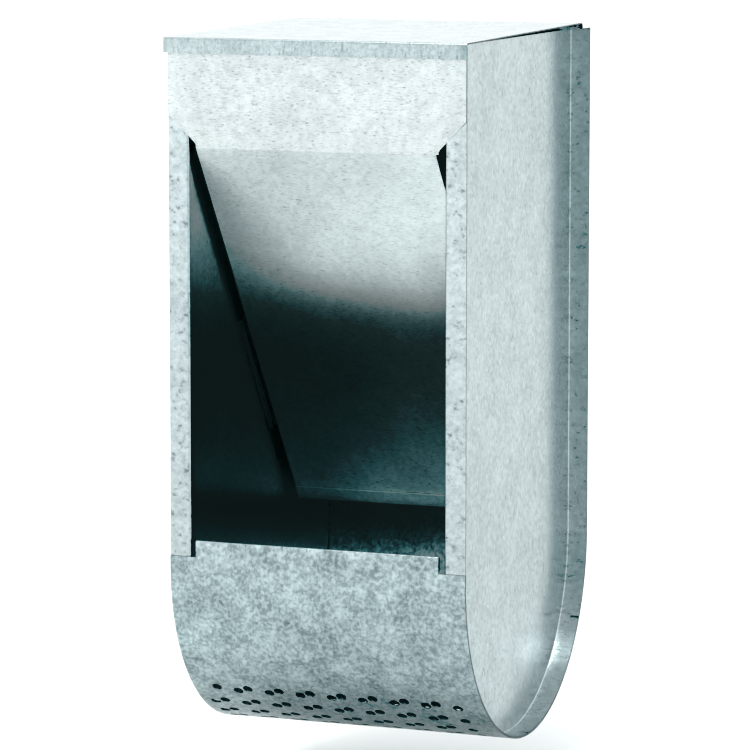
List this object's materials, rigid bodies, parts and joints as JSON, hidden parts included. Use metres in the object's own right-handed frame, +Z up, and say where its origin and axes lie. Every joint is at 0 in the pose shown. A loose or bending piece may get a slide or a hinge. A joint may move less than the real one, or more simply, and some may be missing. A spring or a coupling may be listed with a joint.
{
  "type": "rabbit feeder",
  "caption": "Galvanised sheet hopper feeder for a hutch: sloping baffle, round trough with a sieve bottom, hinged lid, hung by its flat back.",
  "frame": {"origin": "on the back face, midway between the two hanging holes", "axes": "+X to the right as seen from the front, +Y back towards the wall, +Z up"},
  "size_m": [0.142, 0.167, 0.3194],
  "materials": {
    "galvanised_side": "hot-dip zinc, fine vertical streaks",
    "galvanised_trough": "hot-dip zinc, mottled spangle",
    "galvanised_front": "hot-dip zinc, fine level streaks",
    "galvanised_lid": "hot-dip zinc, satin",
    "zinc_wire": "drawn, zinc-plated wire"
  },
  "bodies": {
    "feeder_body": {"side_panel_left": "galvanised_side", "side_panel_right": "galvanised_side", "trough_and_back": "galvanised_trough", "front_and_baffle": "galvanised_front", "hinge_wire": "zinc_wire"},
    "feeder_lid": {"lid": "galvanised_lid"}
  },
  "joints": [
    {"name": "lid_hinge", "type": "hinge", "parent": "feeder_body", "child": "feeder_lid", "pos_m": [0, -0.0155, 0.0277], "axis": [-1, 0, 0], "range_deg": [0, 95]}
  ]
}
